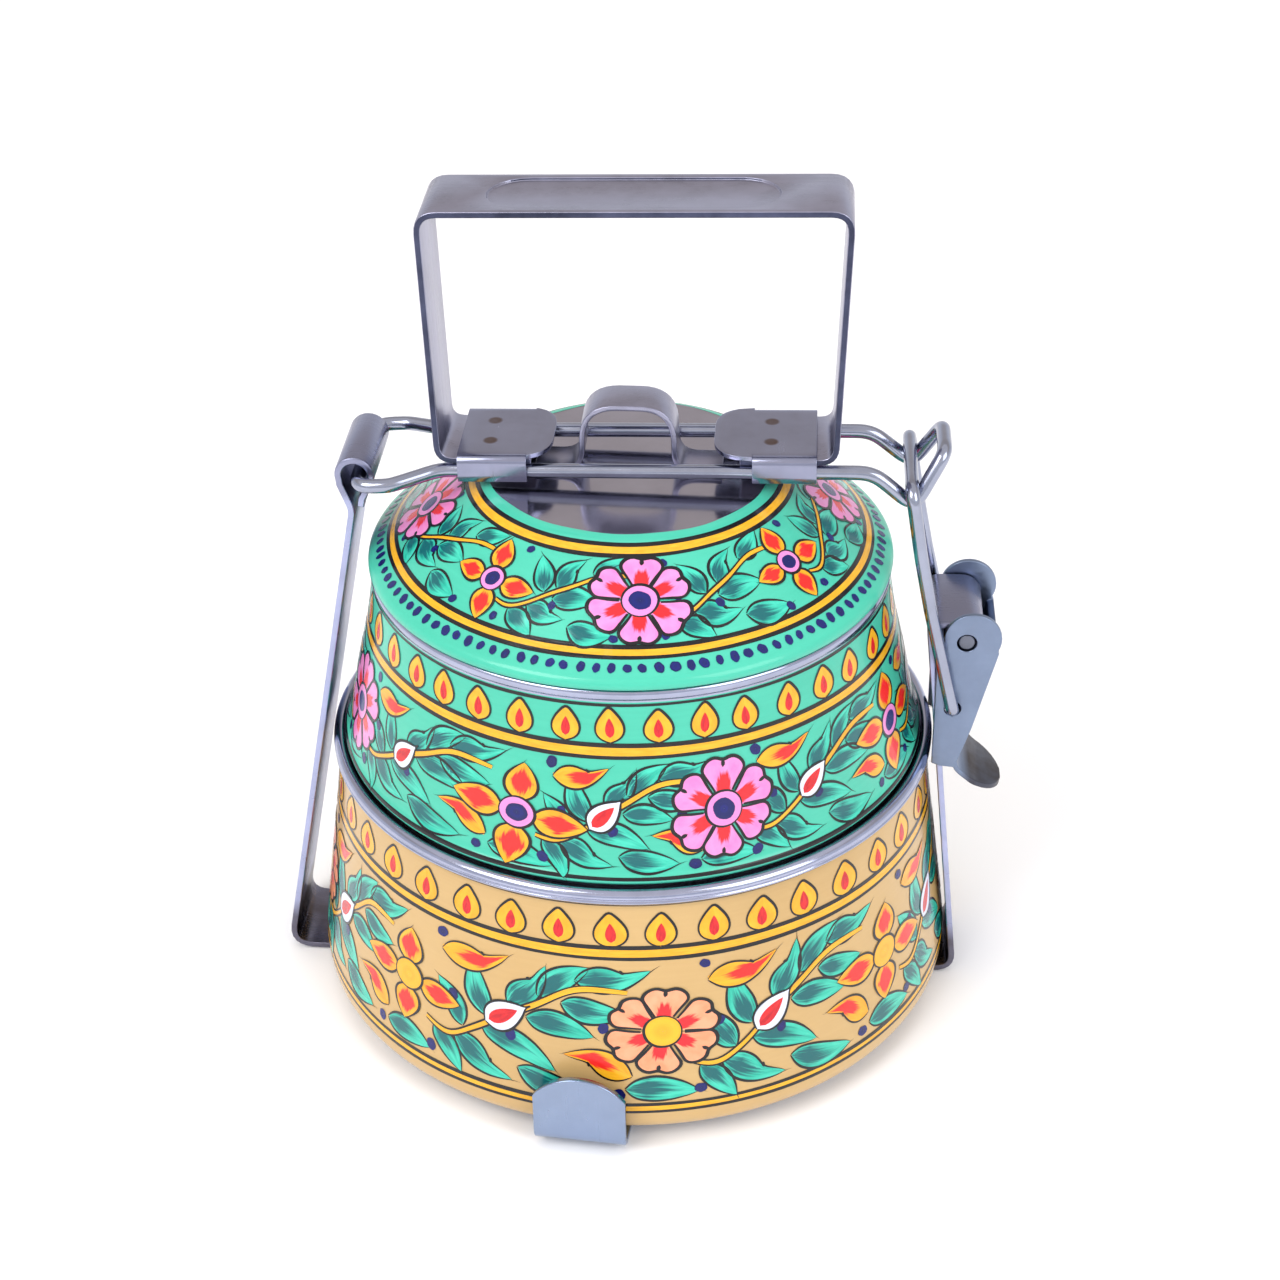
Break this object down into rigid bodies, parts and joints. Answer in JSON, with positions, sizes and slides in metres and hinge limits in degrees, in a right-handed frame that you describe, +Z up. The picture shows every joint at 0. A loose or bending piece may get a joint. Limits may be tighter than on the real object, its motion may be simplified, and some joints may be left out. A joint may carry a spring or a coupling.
{
  "type": "tiffin carrier",
  "caption": "Stacked food carrier: tapered nested vessels under a domed lid in a strap frame, with a hinged carrying handle held down by an over-centre wire latch.",
  "frame": {"origin": "centre of the carrier's underside, on the surface it stands on", "axes": "+Z up; +X along the handle, from its hinge towards its latch; -Y to the front"},
  "size_m": [0.1714, 0.16, 0.1953],
  "materials": {
    "strip_steel": "brushed",
    "wire_steel": "polished",
    "latch_steel": "satin",
    "mint_enamel": "gloss",
    "cream_enamel": "gloss"
  },
  "bodies": {
    "carrier": {"base_strap": "strip_steel", "cross_strap": "strip_steel", "lower_container": "cream_enamel"},
    "upper_vessel": {"upper_container": "mint_enamel"},
    "lid_assembly": {"lid": "mint_enamel", "lid_tab": "strip_steel"},
    "handle_frame": {"wire_frame": "wire_steel", "handle_strap": "strip_steel", "saddle_left": "strip_steel", "saddle_right": "strip_steel"},
    "lever": {"latch_lever": "latch_steel", "latch_pin": "wire_steel"},
    "link": {"latch_link": "wire_steel"}
  },
  "joints": [
    {"name": "handle_swing", "type": "hinge", "parent": "carrier", "child": "handle_frame", "pos_m": [-0.0586, 0, 0.1324], "axis": [0, -1, 0], "range_deg": [0, 180]},
    {"name": "upper_lift", "type": "slide", "parent": "carrier", "child": "upper_vessel", "axis": [0, 0, 1], "range_m": [0, 0.0121]},
    {"name": "lid_lift", "type": "slide", "parent": "carrier", "child": "lid_assembly", "axis": [0.3007, 0, 0.9537], "range_m": [0, 0.0629]},
    {"name": "latch_open", "type": "hinge", "parent": "carrier", "child": "lever", "pos_m": [0.0756, 0, 0.0955], "axis": [0, -1, 0], "range_deg": [0, 150], "deforming": ["latch_link"]},
    {"name": "link_swing", "type": "hinge", "parent": "lever", "child": "link", "pos_m": [0.0735, 0, 0.078], "axis": [0, -1, 0], "range_deg": [-342.1, 0]}
  ],
  "couplings": [
    {"joint": "upper_lift", "follows": "handle_swing", "m_per_rad": 0.00384},
    {"joint": "lid_lift", "follows": "handle_swing", "m_per_rad": 0.02},
    {"joint": "link_swing", "follows": "latch_open", "ratio": -2.28}
  ]
}
